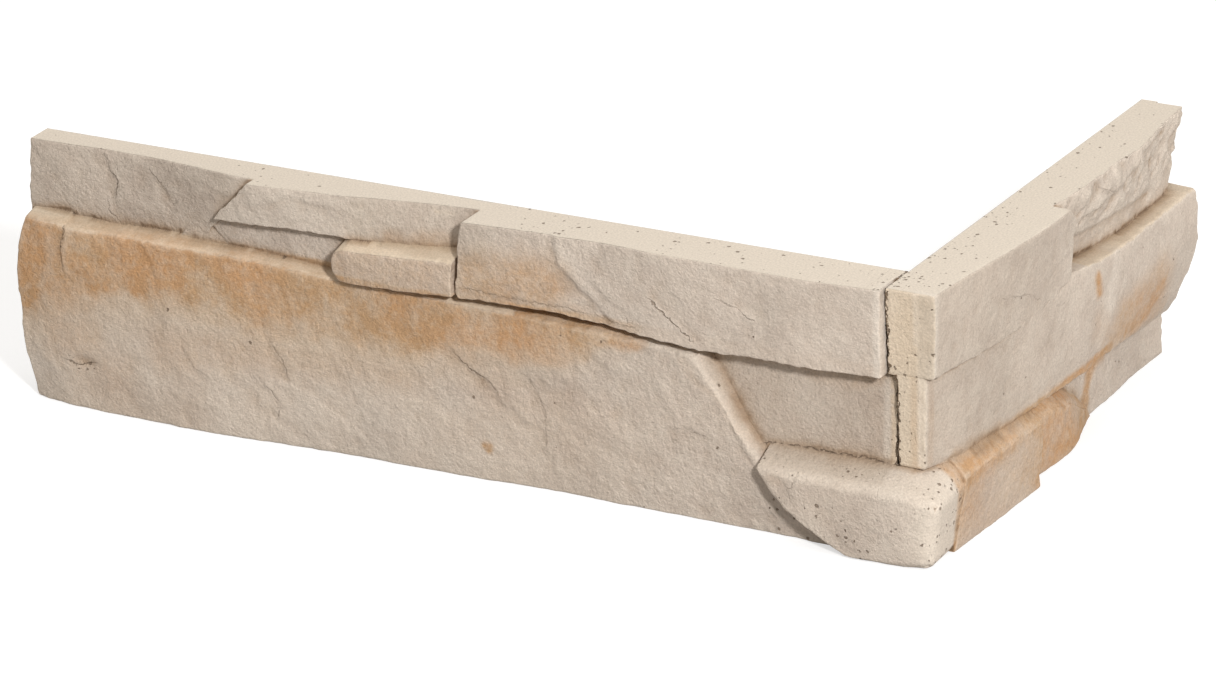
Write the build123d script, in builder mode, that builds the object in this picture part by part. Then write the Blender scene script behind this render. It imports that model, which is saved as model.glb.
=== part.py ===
"""Travertine corner slip: an outside-corner piece of stone-look wall cladding.

One casting that wraps an outside wall corner. A long leg and a short leg meet at a
right angle, and each shows a stack of split stones that stand out by different
amounts, with ledges and deep breaks between them.

All sizes are millimetres. The origin is the wall corner at the bed: the long leg runs
along -X with its stones facing -Y, the short leg runs along +Y with its stones facing
+X, and +Z is up. The wall fills the quarter where x is below 0 and y is above 0.
"""

import os
from build123d import *

course_height = 100.0     # bed to top, the same all the way round
long_leg = 360.0          # wall corner to the far end of the long leg
short_leg = 188.0         # wall corner to the far end of the short leg
backing = 8.0             # thinnest part of the casting, behind every stone
upper_break = 70.0        # height of the break under the upper stones
lower_break = 31.0        # height of the break over the bottom stones
thin_face = 10.5          # how far the flattest upper stone stands off the wall
recess_face = 13.0        # face of the set-back stones
wide_face = 20.0          # face of the large stone of the long leg
slab_face = 22.0          # face of the long slab at the top of the long leg
block_face = 24.0         # face of the small block that stands out most in the middle
corner_face = 29.0        # front of the bottom corner stone
side_face = 21.0          # side of the bottom corner stone and its neighbour
upper_side = 25.0         # fullest part of the short leg's upper stone
big_side = 22.0           # face of the short leg's middle stone
end_strip = 17.0          # how far the short leg's front end stands past the wall corner
joint_width = 1.3         # the dark break where the two legs' stones meet
joint_floor = 5.0         # stone left behind that break, at the wall corner
edge_round = 1.2          # worn edges along the stones


def across(leg, distance):
    """The plane that cuts a leg at a distance from the wall corner, seen from its end."""
    if leg == "long":
        return Plane(origin=(-distance, 0, 0), x_dir=(0, -1, 0), z_dir=(-1, 0, 0))
    return Plane(origin=(0, distance, 0), x_dir=(1, 0, 0), z_dir=(0, -1, 0))


def stone(leg, *cuts):
    """One stone, drawn through its cuts across the leg, each with worn face edges.

    A cut is its distance from the wall corner, then the corners of the face from the
    underside to the top, each as how far it stands off the wall and its height.
    """
    sections = []
    for distance, *face in cuts:
        with BuildSketch(across(leg, distance)) as section:
            with BuildLine():
                Polyline((0, face[0][1]), *face, (0, face[-1][1]), close=True)
            make_face()
            outer = section.vertices().filter_by(lambda v: off_wall(leg, v) > 1)
            fillet(outer, radius=edge_round)
        sections.append(section.sketch)
    loft(sections, ruled=True)


def off_wall(leg, vertex):
    """How far a point stands off the wall behind its leg."""
    return -vertex.Y if leg == "long" else vertex.X


with BuildPart() as corner_slip:
    # the backing that every stone is cast on, one wall of it on each side of the corner
    with BuildSketch(Plane.XY):
        with BuildLine():
            Polyline(
                (0, 0),
                (1 - long_leg, 0),
                (1 - long_leg, -backing),
                (backing, -backing),
                (backing, short_leg),
                (0, short_leg),
                close=True,
            )
        make_face()
    extrude(amount=course_height)

    # long leg, upper left: a flat stone behind the others
    stone(
        "long",
        (long_leg, (thin_face + 1, upper_break), (thin_face, course_height)),
        (0.83 * long_leg, (thin_face + 1, upper_break), (thin_face, course_height)),
        (0.72 * long_leg, (thin_face + 3, upper_break), (thin_face + 4, course_height)),
    )

    # the wedge: its left end slants down to a point and its face runs back to the right
    wedge_low = upper_break + 14
    stone(
        "long",
        (0.765 * long_leg, (18, wedge_low - 1), (18, wedge_low + 3)),
        (0.722 * long_leg, (18.5, wedge_low), (20, course_height)),
        (0.605 * long_leg, (17.5, wedge_low), (16, course_height)),
        (0.465 * long_leg, (13, wedge_low), (8.5, course_height)),
    )

    # the set-back stone in the shadow under the wedge
    stone(
        "long",
        (0.78 * long_leg, (recess_face, upper_break), (recess_face - 1, upper_break + 8)),
        (0.60 * long_leg, (recess_face, upper_break - 2), (recess_face, wedge_low + 2)),
    )

    # the small block, with a sloping ledge on top that runs back under the wedge
    stone(
        "long",
        (0.620 * long_leg, (block_face, upper_break - 0.5), (block_face, 82), (14, wedge_low + 2)),
        (0.465 * long_leg, (block_face, upper_break), (block_face - 0.5, 83), (12, wedge_low + 3)),
    )

    # the long slab up to the corner, hollow in its middle and ragged along the underside
    slab_end = joint_width
    stone(
        "long",
        (0.470 * long_leg, (slab_face, upper_break + 1), (slab_face, course_height)),
        (0.370 * long_leg, (slab_face, upper_break + 1), (slab_face - 1.5, course_height)),
        (0.258 * long_leg, (slab_face, upper_break - 2.5), (slab_face - 1.5, course_height)),
        (0.086 * long_leg, (slab_face, upper_break - 3), (slab_face, course_height)),
        (slab_end, (slab_face - 1, upper_break - 3), (slab_face - 1.5, course_height)),
    )

    # the large lower stone: a broken left end, a ledge on top, and a slanted right edge
    # that runs down behind the bottom corner stone
    stone(
        "long",
        (long_leg + 4, (12, 22), (16, 40), (13, 56), (6, 60)),
        (long_leg - 2, (wide_face, 0), (22, 40), (18.5, 68), (9, upper_break + 2)),
        (0.83 * long_leg, (wide_face + 4, 0), (23, 40), (19.5, 69), (10, upper_break + 1)),
        (0.61 * long_leg, (wide_face + 0.5, 0), (21.5, 36), (19, 66), (10, upper_break)),
        (0.39 * long_leg, (wide_face - 1, 0), (20, 34), (19, 64), (10, upper_break - 1)),
        (0.22 * long_leg, (wide_face, 0), (20, 30), (19.5, 60), (10, upper_break - 3)),
        (0.15 * long_leg, (wide_face + 0.5, 0), (21, 14), (20.5, 28), (10, lower_break + 5)),
        (0.04 * long_leg, (wide_face + 2, 0), (22, 4), (21, 8), (10, 12)),
    )

    # the set-back stone at the corner, under the slab
    stone(
        "long",
        (0.25 * long_leg, (recess_face + 2, lower_break), (recess_face, upper_break)),
        (slab_end, (recess_face + 3, lower_break), (recess_face, upper_break)),
    )

    # short leg, upper stone: its front end shows past the corner, its face swells to a step
    stone(
        "short",
        (-end_strip, (17.5, upper_break - 2), (18.5, course_height)),
        (0.13 * short_leg, (21.5, upper_break - 2), (23, course_height)),
        (0.39 * short_leg, (upper_side - 3, upper_break - 4), (upper_side + 1, course_height)),
        (0.43 * short_leg, (upper_side - 5, upper_break - 4), (upper_side, course_height)),
    )

    # the rough split stone at the far end, its face running back towards its underside
    stone(
        "short",
        (0.42 * short_leg, (11, upper_break - 4), (17, 82), (18.5, course_height)),
        (0.70 * short_leg, (14, upper_break - 4), (18.5, 82), (20, course_height)),
        (0.85 * short_leg, (14, upper_break - 4), (16.5, 82), (17.5, course_height)),
        (short_leg, (12, upper_break - 4), (14, 82), (16, course_height)),
    )

    # the big middle stone, set back at the corner and undercut towards the far end
    stone(
        "short",
        (-end_strip, (12.5, lower_break), (13, 48), (13.5, 60), (14, upper_break)),
        (0.02 * short_leg, (17, lower_break), (17.5, 48), (18, 60), (18, upper_break)),
        (0.40 * short_leg, (19.5, lower_break), (21, 48), (21.5, 60), (21, upper_break - 2)),
        (0.75 * short_leg, (15, 25), (20, 34), (big_side + 0.5, 50), (22, upper_break - 2)),
        (short_leg, (8, 20), (14, 31), (big_side, 48), (21.5, upper_break - 2)),
    )

    # the bottom corner stone: a curved left edge, a broad sloping ledge, square at the front
    stone(
        "long",
        (50, (22, 25), (25, 27), (17, lower_break)),
        (43, (27, 19), (corner_face - 0.5, 27), (17, lower_break + 1)),
        (31, (28, 10), (corner_face, 27), (17, lower_break + 1)),
        (12, (28, 2), (corner_face, 27), (17, lower_break + 1)),
        (4, (corner_face, 0), (corner_face, 27), (17, lower_break + 1)),
        (-side_face, (corner_face - 2, 0), (corner_face - 1, 25), (16, lower_break - 1)),
    )

    # the two low stones that carry the ledge on round the short leg
    stone(
        "short",
        (-10, (side_face - 1, 0), (side_face + 1, 27), (14, lower_break + 1)),
        (0.29 * short_leg, (side_face, 0), (side_face + 1.5, 25), (14, lower_break + 1)),
    )
    stone(
        "short",
        (0.28 * short_leg, (17, 0), (19, 22), (12, lower_break)),
        (0.50 * short_leg, (18, 0), (17, 14), (10, 21)),
        (0.66 * short_leg, (9, 0), (9, 4), (4, 7)),
    )

    # the dark break between the two legs' stones, from the outside almost to the wall
    with BuildSketch(Plane.XY.offset(lower_break + 1)):
        with Locations((-joint_width, -joint_floor)):
            Rectangle(joint_width, 3 * slab_face, align=(Align.MIN, Align.MAX))
    extrude(amount=course_height, mode=Mode.SUBTRACT)

os.makedirs("parts", exist_ok=True)
corner_slip.part.label = "corner_slip"
export_step(corner_slip.part, "parts/corner_slip.step")
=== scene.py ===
import bpy
import numpy as np
from mathutils import Matrix, Vector


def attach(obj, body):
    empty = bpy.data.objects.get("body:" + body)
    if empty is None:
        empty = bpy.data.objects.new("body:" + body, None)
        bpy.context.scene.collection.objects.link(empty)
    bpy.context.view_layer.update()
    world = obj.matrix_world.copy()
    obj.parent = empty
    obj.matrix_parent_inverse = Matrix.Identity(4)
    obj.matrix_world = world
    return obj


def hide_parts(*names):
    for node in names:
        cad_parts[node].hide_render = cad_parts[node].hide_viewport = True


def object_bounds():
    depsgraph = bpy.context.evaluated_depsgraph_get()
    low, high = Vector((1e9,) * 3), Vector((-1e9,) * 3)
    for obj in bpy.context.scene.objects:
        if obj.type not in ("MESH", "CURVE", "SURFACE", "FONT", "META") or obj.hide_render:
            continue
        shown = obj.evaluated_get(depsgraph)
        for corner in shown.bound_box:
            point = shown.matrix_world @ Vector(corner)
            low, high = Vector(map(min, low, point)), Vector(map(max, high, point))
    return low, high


# Travertine corner slip: one casting in split-travertine look that wraps the outside
# corner of a wall. Lengths in the scene are metres, with the wall corner at the origin:
# the long leg runs along -X and faces -Y, the short leg runs along +Y and faces +X.

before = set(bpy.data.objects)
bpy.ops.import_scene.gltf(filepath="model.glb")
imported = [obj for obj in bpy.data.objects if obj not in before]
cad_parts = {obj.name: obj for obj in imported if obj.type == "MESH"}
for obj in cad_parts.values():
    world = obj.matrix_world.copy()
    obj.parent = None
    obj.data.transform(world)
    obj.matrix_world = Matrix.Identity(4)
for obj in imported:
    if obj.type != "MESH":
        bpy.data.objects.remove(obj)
first_low, first_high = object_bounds()


# Long leg, upper left: a flat split stone set back behind the others. The real surface
# is split travertine copied in a rubber mould: swells, scallops and thin broken layers.
# Places on a leg are millimetres from the wall corner and above the course's underside.

course = round(1000 * first_high[2])


def cloud(places, size, seed):
    """Smooth random heights between -1 and 1 that change over a length of size.

    Each corner of a cubic lattice gets a number from the fraction of a large sine, and
    the eight corners of a cell are blended along an S curve.
    """
    cell = np.floor(places / size)
    inside = places / size - cell
    blend = inside * inside * (3 - 2 * inside)
    height = np.zeros(places.shape[:-1])
    for corner in np.ndindex(2, 2, 2):
        key = (cell + corner) @ np.array((12.9898, 78.233, 37.719)) + seed * 5.17
        value = np.sin(key) * 43758.5453
        share = np.prod(np.where(corner, blend, 1 - blend), axis=-1)
        height += share * (2 * (value - np.floor(value)) - 1)
    return height


def split_face(places, swell, layers, seed):
    """How far a split face stands out from its mean plane, in millimetres.

    Swells of 52 and 21 mm. Scallops of 11 and 5 mm, which are minus the size of a random
    height, so that round hollows meet in ridges, drawn out along the slant of the split.
    Layers: a random height cut into level plates with short steep steps between them.
    """
    slant = places.copy()
    slant[..., 0] = 0.92 * (places[..., 0] + 0.7 * places[..., 1])
    slant[..., 1] = 0.50 * (places[..., 1] - 0.7 * places[..., 0])
    height = swell * (cloud(places, 52, seed) + 0.5 * cloud(places, 21, seed + 1))
    height -= 0.6 * swell * np.abs(cloud(slant, 11, seed + 2))
    height -= 0.3 * swell * np.abs(cloud(slant, 5, seed + 7))
    rise = 1.3 * cloud(places, 40, seed + 3) + 0.6 * cloud(slant, 13, seed + 4)
    plate = np.floor(rise)
    edge = np.clip((rise - plate) / 0.08, 0, 1)
    height += layers * (plate + edge * edge * (3 - 2 * edge))
    height += 0.07 * cloud(places, 2.7, seed + 5)
    return height


def spread(length, step, edge):
    """Places from 0 to 1 along a length: close together at both ends, a step apart between."""
    ramp = np.array((0.0, 0.3, 0.75, 1.4)) * min(edge, length / 6)
    count = max(2, int(np.ceil((length - 2 * ramp[-1]) / step)) + 1)
    middle = np.linspace(ramp[-1], length - ramp[-1], count)
    return np.concatenate((ramp[:-1], middle, length - ramp[-2::-1])) / length


def along_line(corners, share):
    """Points at the given shares of the length of a line drawn through some corners."""
    corners = np.array(corners, float)
    reach = np.concatenate(([0], np.cumsum(np.hypot(*np.diff(corners, axis=0).T))))
    return np.stack([np.interp(share * reach[-1], reach, c) for c in corners.T], axis=-1)


def line_length(corners):
    """The length of a line through some corners."""
    return np.hypot(*np.diff(np.array(corners, float), axis=0).T).sum()


def by_place(rows, at, column=1, reach=5):
    """A value at places along a leg: one number, or rows of place and values with straight runs between.

    The runs are averaged over a reach to both sides, which rounds the bends between them.
    """
    if isinstance(rows, (int, float)):
        return np.full(np.shape(at), float(rows))
    rows = np.array(rows, float)
    shifts = np.linspace(-reach, reach, 7)
    return np.mean([np.interp(at + shift, rows[:, 0], rows[:, column]) for shift in shifts], axis=0)


def line_field(line, at, up):
    """The distance of places on a face to a line, over zero on its left, and how far they lie past its ends.

    The nearest of the line's runs counts: the place is dropped onto it at a share of its
    length, held between 0 and 1, and what the share had over is the way past its end.
    """
    best = np.full(np.shape(at), 1e9)
    signed, beyond = np.zeros_like(best), np.zeros_like(best)
    for (x0, z0), (x1, z1) in zip(line[:-1], line[1:]):
        run = np.hypot(x1 - x0, z1 - z0)
        share = ((at - x0) * (x1 - x0) + (up - z0) * (z1 - z0)) / run**2
        near = np.clip(share, 0, 1)
        gap = np.hypot(at - x0 - near * (x1 - x0), up - z0 - near * (z1 - z0))
        way = np.sign((x1 - x0) * (up - z0) - (z1 - z0) * (at - x0))
        closer = gap < best
        best = np.where(closer, gap, best)
        signed = np.where(closer, way * gap, signed)
        beyond = np.where(closer, np.abs(share - near) * run, beyond)
    return signed, beyond


drawn_cracks = []


def broken(leg, line, drop, width=1.0, reach=9.0, dark=1.0):
    """A fracture line on a face: the stone lies lower by drop on its right, over a slope of some width.

    The step dies away within a reach from the line and 4 mm beyond its ends, as a bell
    curve. The line is noted too, so that a fine crack as strong as dark is drawn along it.
    """
    drawn_cracks.append((leg, line, dark))

    def height(at, up):
        signed, beyond = line_field(line, at, up)
        lower = np.clip(0.5 - signed / width, 0, 1)
        fade = np.exp(-(np.maximum(np.abs(signed) - 2, 0) / reach) ** 2 - (beyond / 4) ** 2)
        return -drop * lower * fade
    return height


def chipped(floor, depth):
    """Small chips above a line of places and heights, of some depth.

    A random height of 6 and 3 mm is cut into plates with short slopes between them, and
    its size in 2.2 mm grains is taken off. It fades in over 1.5 mm above the line.
    """
    def height(at, up):
        spot = np.stack((0.8 * (at + 0.6 * up), up - 0.6 * at, 0 * at), axis=-1)
        rise = 1.7 * cloud(spot, 6, 91) + 1.0 * cloud(spot, 3, 92)
        edge = np.clip((rise - np.floor(rise)) / 0.4, 0, 1)
        chips = np.floor(rise) + edge * edge * (3 - 2 * edge) - 0.8 * np.abs(cloud(spot, 2.2, 93))
        return depth * np.clip((up - np.interp(at, *np.transpose(floor))) / 1.5, 0, 1) * chips
    return height


def dent(place, size, depth):
    """A shallow pit: a bell curve of some size along and up the leg, and some depth, around one place."""
    def height(at, up):
        return -depth * np.exp(-((at - place[0]) / size[0]) ** 2 - ((up - place[1]) / size[1]) ** 2)
    return height


def stone(name, leg, low, high, left, right, out, rise=0.0, drop=0.0, lean=(0, 0), worn=1.0,
          swell=0.5, layers=0.25, ragged=0.5, seed=1, step=1.0, notes=()):
    """One stone of the relief in millimetres: a closed block from the wall to its split face.

    The outline on the face is four lines, low, high, left and right, and a blend of them
    gives the place along the leg and the height for two shares, across and up. A third
    share runs out from the wall and scales how far the face stands off it, which out
    gives as rows of place, low, middle and high. rise and drop tilt the ledges, lean the
    ends. The block is the outside of that bent box, with its edges rounded to a radius of
    worn: a point at an edge has near 1, one a radius away has 0, and it moves onto the
    arc at near times 45 degrees, by r (1 - cos) and r (near - sin). Then it is shifted at
    random, by ragged, most of all near the face. The shift dies away over 3 mm towards
    the top and the underside of the course, which are cut flat.
    """
    edge = worn if isinstance(worn, (int, float)) else 1.5
    across = spread(line_length(low), step, edge)
    up = spread(max(line_length(left), 0.8 * line_length(right)), step, edge)
    step_outward = 2.2
    outward = spread(max(row[2] for row in out), step_outward, edge)
    u, v, t = np.meshgrid(across, up, outward, indexing="ij")
    skin = (u == 0) | (u == 1) | (v == 0) | (v == 1) | (t == 1)
    number = np.full(u.shape, -1)
    number[skin] = np.arange(skin.sum())
    u, v, t = u[skin], v[skin], t[skin]

    line_low, line_high = along_line(low, u), along_line(high, u)
    line_left, line_right = along_line(left, v), along_line(right, v)
    flat = (1 - v)[:, None] * line_low + v[:, None] * line_high
    flat += (1 - u)[:, None] * line_left + u[:, None] * line_right
    for corner, share in ((low[0], (1 - u) * (1 - v)), (low[-1], u * (1 - v)),
                          (high[0], (1 - u) * v), (high[-1], u * v)):
        flat -= share[:, None] * np.array(corner, float)
    at, height = flat.T

    bottom, middle, top = (by_place(out, at, column) for column in (1, 2, 3))
    face = bottom * (1 - v) * (1 - 2 * v) + 4 * middle * v * (1 - v) + top * v * (2 * v - 1)
    spot = np.stack((at, height, np.full_like(at, 40.0 * seed)), axis=-1)
    face = face + split_face(spot, swell, layers, seed)
    for note in notes:
        face = face + note(at, height)

    wide = np.hypot(*(line_right - line_left).T)
    tall = np.hypot(*(line_high - line_low).T)
    radius = by_place(worn, at, 1, 1) * (1 + 0.25 * cloud(spot, 13, seed + 8))
    radius = np.maximum(radius + 0.35 * cloud(spot, 3.5, seed + 9), 0.15)
    front, above, under = (1 - t) * face, (1 - v) * tall, v * tall
    before, after = u * wide, (1 - u) * wide
    inward = {0: (0, 0, -1), 1: (0, -1, 0), 2: (0, 1, 0), 3: (1, 0, 0), 4: (-1, 0, 0)}
    sides = (front, above, under, before, after)
    pull = np.zeros(at.shape + (3,))
    for one, two in ((0, 1), (0, 2), (0, 3), (0, 4), (1, 3), (1, 4), (2, 3), (2, 4)):
        near = np.clip(1 - (sides[one] + sides[two]) / radius, 0, 1)
        sink, slide = 1 - np.cos(near * np.pi / 4), near - np.sin(near * np.pi / 4)
        on_one = sides[one] <= sides[two]
        pull += (radius * np.where(on_one, sink, slide))[:, None] * np.array(inward[one])
        pull += (radius * np.where(on_one, slide, sink))[:, None] * np.array(inward[two])
    behind = 1 - t
    shape = np.stack((
        at + behind * (lean[0] * (1 - u) + lean[1] * u),
        height + behind * (by_place(rise, at, 1, 1) * v - drop * (1 - v)),
        t * face,
    ), axis=-1) + pull
    close = np.exp(-front / 2.5)
    shake = np.stack([
        cloud(shape, 9, seed + k) * (0.4 + 0.4 * close) + 0.9 * cloud(shape, 2.2, seed + k + 3) * close
        for k in (20, 30, 40)
    ], axis=-1)
    hold = np.clip(np.minimum(shape[:, 1], course - shape[:, 1]) / 3, 0, 1) * np.clip(t * 3, 0, 1)
    shape += ragged * hold[:, None] * shake * np.array((1, 0.8, 0.4))

    def sheet(grid, flip):
        """The quads of one side, from the numbers of its points on a grid."""
        quads = np.stack((grid[:-1, :-1], grid[1:, :-1], grid[1:, 1:], grid[:-1, 1:]), axis=-1)
        return (quads[..., ::-1] if flip else quads).reshape(-1, 4).tolist()

    faces = sheet(number[:, :, -1], False) + sheet(number[:, 0, :], False) + sheet(number[:, -1, :], True)
    faces += sheet(number[0], True) + sheet(number[-1], False)
    wall_rim = (number[:-1, 0, 0], number[-1, :-1, 0], number[:0:-1, -1, 0], number[0, :0:-1, 0])
    faces.append(np.concatenate(wall_rim)[::-1].tolist())
    if leg == "long":
        points = np.stack((shape[:, 0], -shape[:, 2], shape[:, 1]), axis=-1)
    else:
        points = np.stack((shape[:, 2], shape[:, 0], shape[:, 1]), axis=-1)
    mesh = bpy.data.meshes.new(name)
    mesh.from_pydata(points * 0.001, [], faces)
    block = bpy.data.objects.new(name, mesh)
    bpy.context.scene.collection.objects.link(block)
    return block


stones = []
stones.append(stone(
    "flat_stone", "long",
    low=[(-361, 71.5), (-340, 72), (-328, 71.5), (-318, 70), (-287, 69)],
    high=[(-359.6, course), (-256, course)],
    left=[(-361, 71.5), (-361, 77), (-359.8, 87), (-359.6, course)],
    right=[(-287, 69), (-280, 78), (-272, 85), (-256, course)],
    out=[(-361, 11.5, 11.8, 10.7), (-300, 11.5, 12, 10.7), (-282, 12.5, 13.5, 13), (-268, 14, 14.5, 14.6),
         (-256, 15, 15, 15)],
    drop=2, seed=3, swell=0.5, layers=0.3, worn=0.6,
    notes=[broken("long", [(-327, 98), (-326, 96), (-324.5, 92), (-321.5, 89), (-322.5, 84)], 0.5),
           broken("long", [(-326, 81), (-325, 76), (-320, 72.5), (-312, 72)], -0.5, dark=0.6),
           broken("long", [(-307, 95), (-304, 92), (-300, 87.5)], 0.4, dark=0.6)],
))

# Long leg, behind the flat stone's right end: a smooth ramp, a set-back stone in shadow,
# the wedge whose face runs back to the right, and the small block with its own ledge.

stones.append(stone(
    "ramp", "long",
    low=[(-296, 67), (-264, 66)], high=[(-290, 84), (-262, 84)],
    left=[(-296, 67), (-290, 84)], right=[(-264, 66), (-262, 84)],
    out=[(-296, 15, 12, 10), (-280, 16, 13.0, 11.5), (-262, 14, 12, 11)],
    seed=6, swell=0.2, layers=0,
))
stones.append(stone(
    "set_back_stone", "long",
    low=[(-270, 68), (-218, 67)],
    high=[(-283, 88), (-218, 87)],
    left=[(-270, 68), (-275, 73), (-280, 78), (-284, 88)],
    right=[(-218, 67), (-218, 87)],
    out=[(-283, 13.0, 13.0, 12.5), (-218, 14, 13.5, 13)],
    seed=15, swell=0.3, layers=0.2, worn=0.7,
))
stones.append(stone(
    "wedge_stone", "long",
    low=[(-276, 83.5), (-238, 84.5), (-221, 84), (-166, 85)],
    high=[(-260, course), (-166, course)],
    left=[(-276, 83.5), (-274, 86), (-267, 92.7), (-260, course)],
    right=[(-166, 85), (-166, course)],
    out=[(-276, 19, 19, 19), (-260, 19.5, 20, 20.2), (-238, 18.5, 18, 17.3), (-218, 17.5, 16.8, 16.1),
         (-199, 16.8, 15, 12.3), (-180, 16, 13, 9.4), (-166, 15, 12, 8.5)],
    seed=9, swell=0.32, layers=0.15, worn=0.45,
    notes=[broken("long", [(-226, 95), (-236, 96), (-243, 97), (-250, 94), (-256, 92)], -0.5, 1.5, dark=0)],
))
stones.append(stone(
    "small_block", "long",
    low=[(-221, 69.3), (-195, 69.8), (-173, 71)],
    high=[(-218, 82), (-194, 83), (-172.4, 84)],
    left=[(-221, 69.3), (-223.5, 73), (-223.5, 77), (-222, 80.5), (-218, 82)],
    right=[(-173, 71), (-173.2, 77), (-172.4, 84)],
    out=[(-223, 22.5, 23, 22.5), (-218, 23.7, 24, 23.5), (-172, 24, 24, 23)],
    rise=8, seed=21, swell=0.14, layers=0, worn=0.5, ragged=0.4,
))

# Long leg, the slab at the top: long and smooth, hollow in its middle, with a ragged
# underside that overhangs the stones below it, and a flake broken off its left part.

stones.append(stone(
    "slab", "long",
    low=[(-171, 71), (-133, 71), (-113, 69), (-93, 67.8), (-73, 66.2), (-53, 67.2), (-33, 66.7),
         (-1.0, 67.4)],
    high=[(-168.5, course), (-1.0, course)],
    left=[(-171, 71), (-172, 73.5), (-170.3, 83.4), (-170.2, 93), (-168.5, course)],
    right=[(-1.0, 67.4), (-1.0, course)],
    out=[(-172, 22.5, 22.8, 22.2), (-153, 22.3, 22.2, 21), (-132, 22.2, 22, 20.8), (-113, 21.8, 20.8, 19.6),
         (-92, 21.8, 21, 20.9), (-71, 22, 21.8, 21.4), (-31, 22.2, 22.3, 22.3), (-1.5, 21.5, 21, 20.6)],
    seed=33, swell=0.3, layers=0.12, worn=0.5, step=1.15,
    notes=[broken("long", [(-132, 103), (-131, 96), (-130, 89), (-124, 84), (-117, 78), (-110, 72)],
                  1.0, 1.6, 14, 0),
           broken("long", [(-115, 83), (-107, 78), (-98, 73)], 0.5, 1.2, 9, 0),
           broken("long", [(-77, 70.5), (-80, 73), (-83, 75), (-92, 81.5)], 0.5),
           broken("long", [(-51, 81.5), (-54, 83.5), (-58, 85), (-64, 87)], 0.35, dark=0.7),
           broken("long", [(-166, 75), (-149, 74), (-129, 73.4), (-112, 71.4), (-101, 70.5)],
                  0.45, dark=0.5)],
))

# Long leg, the large lower stone: its left end is broken, a narrow ledge runs along its
# top, and its right edge slopes down behind the bottom corner stone.

stones.append(stone(
    "large_stone", "long",
    low=[(-359, 0), (-14, 0)],
    high=[(-359.5, 71.5), (-343, 71), (-341, 70), (-326, 70.3), (-265, 70.3), (-225, 68), (-170, 67),
          (-115, 65), (-77, 63)],
    left=[(-359, 0), (-360.4, 12), (-362.3, 20), (-363, 37), (-364, 46), (-364, 50), (-363.4, 56),
          (-362, 64), (-359.5, 71.5)],
    right=[(-14, 0), (-20, 5), (-31, 10.4), (-43, 19.4), (-50, 26), (-55, 32.5), (-60.4, 39.3), (-66, 48),
           (-71.8, 56.5), (-77, 63)],
    out=[(-364, 18.5, 20, 17.5), (-343, 22.2, 22.5, 19), (-306, 23.8, 23, 19.5), (-284, 24.4, 23.3, 19.5),
         (-263, 23.3, 22.8, 19.5), (-222, 20.3, 21.5, 19), (-200, 20.9, 21.5, 19), (-158, 20.4, 21, 19),
         (-139, 18.5, 20.5, 19), (-97, 19.6, 20.5, 19.5), (-56, 20.6, 21, 20), (-14, 22.4, 21, 20)],
    rise=6, lean=(0, 7.5), seed=47, swell=0.5, layers=0.24, worn=1.0, step=1.1,
    notes=[broken("long", [(-174, 47.5), (-171, 45), (-167, 42), (-163, 40.3)], 0.5, 0.7, 6),
           broken("long", [(-163, 40.5), (-158.5, 37), (-156, 33)], 0.3, 0.7, 5, 0.7),
           broken("long", [(-146, 44), (-142, 40), (-138, 31), (-138, 19)], 0.35, 0.9, 7, 0.35),
           broken("long", [(-342, 56), (-343, 62), (-341.5, 68), (-341.8, 73)], -1.0),
           broken("long", [(-251, 38), (-247, 33), (-246, 28)], 0.3, 0.7, 5, 0.6),
           broken("long", [(-254, 22), (-249, 17), (-250, 12)], 0.3, 0.7, 5, 0.6),
           broken("long", [(-288, 30), (-285, 25), (-281, 23)], 0.3, 0.7, 5, 0.4),
           broken("long", [(-86, 33.5), (-80, 34.5), (-73, 33)], 0.3, dark=0.5),
           broken("long", [(-341, 18.5), (-337, 17.8), (-330, 19.2)], 0.3),
           dent((-335, 19.5), (4.5, 1.7), 1.3)],
))

# Long leg, the smooth set-back stone at the corner, in the shadow of the slab. It sits
# on the ledge of the bottom corner stone.

stones.append(stone(
    "corner_recess", "long",
    low=[(-72, 30), (-54, 30), (2.0, 29)],
    high=[(-92, 72), (2.0, 72)],
    left=[(-72, 30), (-92, 72)],
    right=[(2.0, 29), (2.2, 50), (2.0, 72)],
    out=[(-92, 14, 13, 12.5), (-60, 15.5, 14, 12.7), (2, 16.5, 14.5, 13)],
    seed=58, swell=0.3, layers=0.08, worn=0.7, ragged=0.3, step=1.2,
    notes=[broken("long", [(-50, 32.6), (-44, 33.3), (-20, 33.5), (2, 33.4)], 0.0)],
))

# Short leg, upper stones: one whose cut end shows past the corner, and a rough split one
# behind it with a ridge along its face, over a smooth set-back band.

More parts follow.
